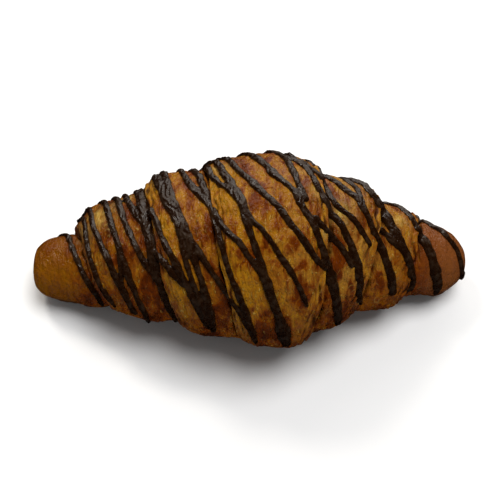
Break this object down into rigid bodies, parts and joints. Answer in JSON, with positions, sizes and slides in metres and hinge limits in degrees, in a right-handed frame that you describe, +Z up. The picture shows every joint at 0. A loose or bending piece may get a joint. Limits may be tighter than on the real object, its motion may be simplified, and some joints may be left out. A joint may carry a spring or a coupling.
{
  "type": "croissant",
  "caption": "Rolled, layered butter pastry with tapering ends and a flat base, with zigzag lines of dark chocolate set over its top; food to rest on a plate, board or tray.",
  "frame": {"origin": "on the flat base (z = 0), under the middle of the bounding box", "axes": "+X along the length, from the blunt tip to the pointed tip; +Y from front to back; +Z up"},
  "size_m": [0.166, 0.0773, 0.0638],
  "materials": {
    "baked_crust": "satin",
    "dark_chocolate": "gloss"
  },
  "bodies": {
    "root": {"pastry": "baked_crust", "drizzle_blunt_tip": "dark_chocolate", "drizzle_blunt_shoulder": "dark_chocolate", "drizzle_first_lobe": "dark_chocolate", "drizzle_left_web": "dark_chocolate", "drizzle_middle_web": "dark_chocolate", "drizzle_second_lobe": "dark_chocolate", "drizzle_third_lobe": "dark_chocolate", "drizzle_pointed_shoulder": "dark_chocolate", "drizzle_pointed_tip": "dark_chocolate"}
  },
  "joints": []
}
